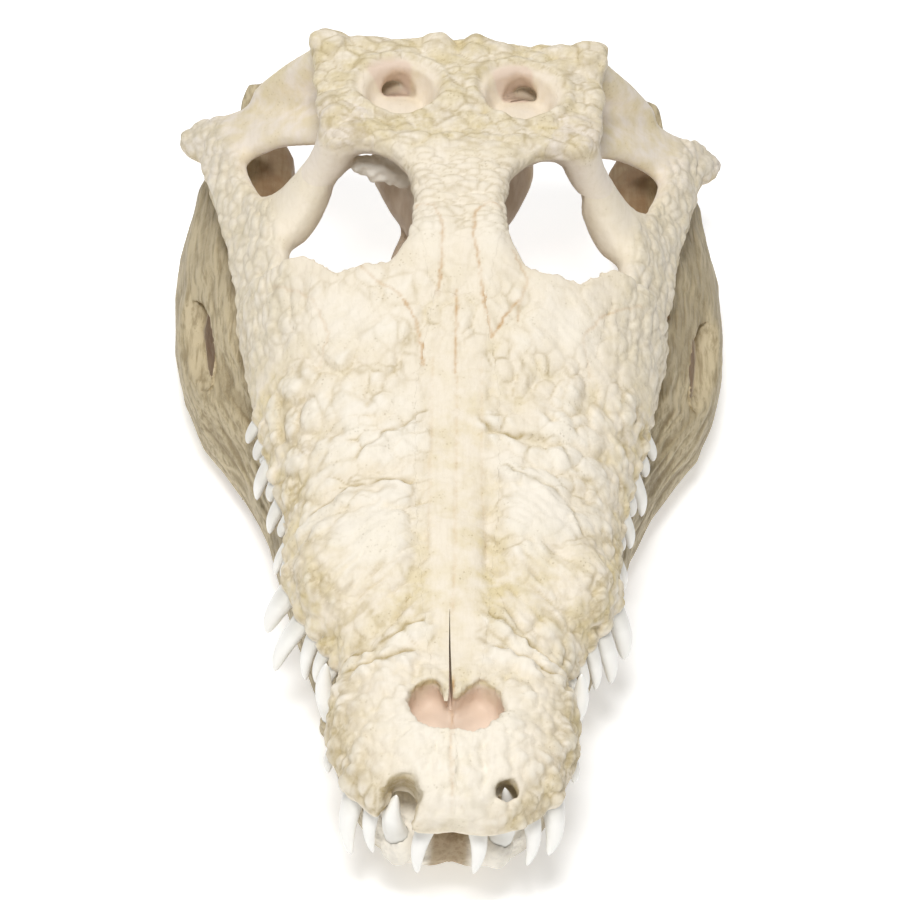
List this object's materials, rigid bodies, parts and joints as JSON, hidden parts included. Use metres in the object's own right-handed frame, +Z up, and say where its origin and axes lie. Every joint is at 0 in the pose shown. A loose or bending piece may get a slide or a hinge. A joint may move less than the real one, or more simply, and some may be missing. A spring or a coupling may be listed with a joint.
{
  "type": "crocodile skull",
  "caption": "Dry skull of a large broad-snouted crocodile, jaws closed, resting on its lower jaw.",
  "frame": {"origin": "on the floor under the middle of the whole skull's box", "axes": "+Y from the snout to the back of the head, +X to the animal's left, +Z up"},
  "size_m": [0.2684, 0.528, 0.15],
  "materials": {
    "rough_bone": "matt, nodular, cream with olive-tan grooves",
    "smooth_bone": "smooth matt, pinkish cream",
    "jaw_bone": "matt with long streaks, tan"
  },
  "bodies": {
    "root": {"premaxilla_left": "rough_bone", "premaxilla_right": "rough_bone", "maxilla_left": "rough_bone", "maxilla_right": "rough_bone", "nasals": "rough_bone", "lacrimal_left": "rough_bone", "lacrimal_right": "rough_bone", "frontal": "rough_bone", "parietal": "rough_bone", "squamosal_left": "rough_bone", "squamosal_right": "rough_bone", "jugal_left": "rough_bone", "jugal_right": "rough_bone", "postorbital_left": "smooth_bone", "postorbital_right": "smooth_bone", "quadrate_left": "smooth_bone", "quadrate_right": "smooth_bone", "braincase": "smooth_bone", "pterygoid": "smooth_bone", "dentary_left": "jaw_bone", "dentary_right": "jaw_bone", "surangular_left": "jaw_bone", "surangular_right": "jaw_bone", "angular_left": "jaw_bone", "angular_right": "jaw_bone", "articular_left": "jaw_bone", "articular_right": "jaw_bone"}
  },
  "joints": []
}
